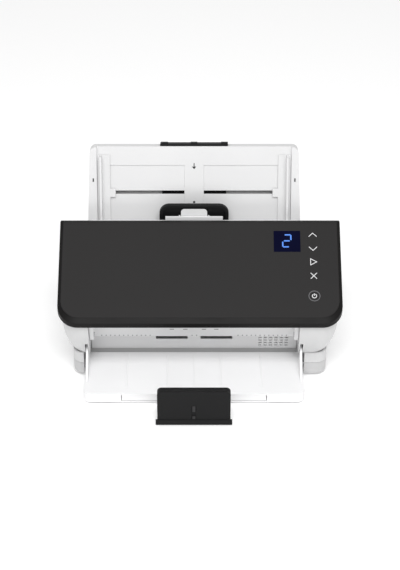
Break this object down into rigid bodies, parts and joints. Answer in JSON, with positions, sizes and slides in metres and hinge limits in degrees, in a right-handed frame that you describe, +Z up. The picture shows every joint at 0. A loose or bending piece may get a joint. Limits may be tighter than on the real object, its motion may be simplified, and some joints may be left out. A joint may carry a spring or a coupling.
{
  "type": "sheet fed document scanner",
  "caption": "Desktop sheet fed document scanner with a tilted control panel, standing input tray, sliding guides and a drop down output tray with an end stop.",
  "frame": {"origin": "middle of the plinth's footprint, on the desk under the rubber feet", "axes": "+Z up, -Y towards the user, +X to the user's right"},
  "size_m": [0.33, 0.2452, 0.2361],
  "materials": {
    "white_plastic": "satin",
    "white_tray": "satin",
    "black_matte": "fine matte",
    "black_gloss": "gloss",
    "black_trim": "satin",
    "display_navy": "gloss",
    "digit_blue": "lit",
    "icon_white": "printed",
    "ring_grey": "satin",
    "steel": "plated",
    "brass": "turned",
    "roller_rubber": "ribbed",
    "foot_rubber": "matte",
    "sensor_glass": "clear",
    "board_green": "coated"
  },
  "bodies": {
    "body": {"base_housing": "white_plastic", "bottom_cover": "white_plastic", "rubber_feet": "foot_rubber", "base_screws": "steel", "rear_cover": "white_plastic", "lower_guide": "white_plastic", "chassis_plate_left": "steel", "chassis_plate_right": "steel", "shaft_bushes": "brass", "drive_motor": "steel", "drive_belt": "roller_rubber", "lower_image_sensor": "black_trim", "lower_sensor_glass": "sensor_glass", "main_board": "board_green", "dc_jack": "black_trim", "usb_socket": "steel", "cover_hinge_pins": "steel", "tray_hinge_pins": "steel", "input_tray": "white_tray", "input_tray_back": "white_tray"},
    "motor_rotor": {"motor_pulley": "brass"},
    "feed_roller": {"feed_shaft": "steel", "feed_tyres": "roller_rubber"},
    "transport_roller": {"transport_shaft": "steel", "transport_tyres": "roller_rubber"},
    "exit_roller": {"exit_shaft": "steel", "exit_tyres": "roller_rubber"},
    "cover": {"cover_bezel": "black_gloss", "cover_panel": "black_matte", "display_window": "display_navy", "display_digit": "digit_blue", "touch_icons": "icon_white", "power_ring": "ring_grey", "control_board": "board_green", "cover_frame": "white_plastic", "latch_pins": "steel", "upper_image_sensor": "black_trim", "upper_sensor_glass": "sensor_glass"},
    "power_key": {"power_button": "black_matte", "power_icon": "icon_white"},
    "latch": {"release_latch": "black_trim"},
    "gap_tab": {"gap_lever": "white_plastic"},
    "separation": {"separation_roller": "roller_rubber"},
    "transport_idler": {"transport_idlers": "black_trim"},
    "exit_idler": {"exit_idlers": "black_trim"},
    "extender_in": {"input_extender": "black_trim"},
    "guide_left": {"left_guide": "white_tray", "left_rack": "white_tray"},
    "guide_right": {"right_guide": "white_tray", "right_rack": "white_tray"},
    "pinion": {"guide_pinion": "black_trim"},
    "out_tray": {"output_tray": "white_tray"},
    "out_drawer": {"tray_extender": "white_tray"},
    "out_arm": {"extender_arm": "black_trim"},
    "stop": {"end_stop": "black_trim"}
  },
  "joints": [
    {"name": "cover_hinge", "type": "hinge", "parent": "body", "child": "cover", "pos_m": [0, -0.062, 0.06], "axis": [1, 0, 0], "range_deg": [0, 60]},
    {"name": "latch_hinge", "type": "hinge", "parent": "cover", "child": "latch", "pos_m": [-0.007, 0.03896, 0.14902], "axis": [1, 0, 0], "range_deg": [0, 9], "stiffness_Nm_per_rad": 0.3},
    {"name": "gap_hinge", "type": "hinge", "parent": "cover", "child": "gap_tab", "pos_m": [-0.007, 0.03556, 0.16003], "axis": [1, 0, 0], "range_deg": [0, 10]},
    {"name": "power_key_slide", "type": "slide", "parent": "cover", "child": "power_key", "axis": [0, 0.4772, -0.8788], "range_m": [0, 0.0008], "stiffness_N_per_m": 900},
    {"name": "separation_spin", "type": "hinge", "parent": "cover", "child": "separation", "pos_m": [-0.007, 0.01205, 0.10761], "axis": [1, 0, 0], "continuous": true},
    {"name": "transport_idler_spin", "type": "hinge", "parent": "cover", "child": "transport_idler", "pos_m": [-0.007, -0.01403, 0.08035], "axis": [1, 0, 0], "continuous": true},
    {"name": "exit_idler_spin", "type": "hinge", "parent": "cover", "child": "exit_idler", "pos_m": [-0.007, -0.04234, 0.05644], "axis": [1, 0, 0], "continuous": true},
    {"name": "feed_spin", "type": "hinge", "parent": "body", "child": "feed_roller", "pos_m": [-0.007, 0.02597, 0.09019], "axis": [1, 0, 0], "continuous": true},
    {"name": "transport_spin", "type": "hinge", "parent": "body", "child": "transport_roller", "pos_m": [-0.007, -0.0051, 0.06918], "axis": [1, 0, 0], "continuous": true},
    {"name": "exit_spin", "type": "hinge", "parent": "body", "child": "exit_roller", "pos_m": [-0.007, -0.03404, 0.04605], "axis": [1, 0, 0], "continuous": true},
    {"name": "motor_spin", "type": "hinge", "parent": "body", "child": "motor_rotor", "pos_m": [-0.007, 0.01, 0.052], "axis": [1, 0, 0], "continuous": true},
    {"name": "input_extender_slide", "type": "slide", "parent": "body", "child": "extender_in", "axis": [0, 0.2857, 0.9583], "range_m": [0, 0.07]},
    {"name": "left_guide_slide", "type": "slide", "parent": "body", "child": "guide_left", "axis": [1, 0, 0], "range_m": [0, 0.06]},
    {"name": "right_guide_slide", "type": "slide", "parent": "body", "child": "guide_right", "axis": [-1, 0, 0], "range_m": [0, 0.06]},
    {"name": "pinion_spin", "type": "hinge", "parent": "body", "child": "pinion", "pos_m": [-0.007, 0.0646, 0.17819], "axis": [0, -0.9583, 0.2857], "range_deg": [-435, 5]},
    {"name": "output_tray_hinge", "type": "hinge", "parent": "body", "child": "out_tray", "pos_m": [-0.007, -0.052, 0.01], "axis": [1, 0, 0], "range_deg": [-50, 0]},
    {"name": "tray_extender_slide", "type": "slide", "parent": "out_tray", "child": "out_drawer", "axis": [0, -1, 0], "range_m": [0, 0.032]},
    {"name": "extender_arm_slide", "type": "slide", "parent": "out_drawer", "child": "out_arm", "axis": [0, -1, 0], "range_m": [-0.024, 0]},
    {"name": "end_stop_hinge", "type": "hinge", "parent": "out_arm", "child": "stop", "pos_m": [-0.007, -0.1507, 0.0065], "axis": [-1, 0, 0], "range_deg": [-90, 0]}
  ],
  "couplings": [
    {"joint": "transport_spin", "follows": "feed_spin", "ratio": 1.6667},
    {"joint": "exit_spin", "follows": "feed_spin", "ratio": 1.6667},
    {"joint": "motor_spin", "follows": "feed_spin", "ratio": 1.5},
    {"joint": "right_guide_slide", "follows": "left_guide_slide", "ratio": 1},
    {"joint": "pinion_spin", "follows": "left_guide_slide", "rad_per_m": -125}
  ]
}
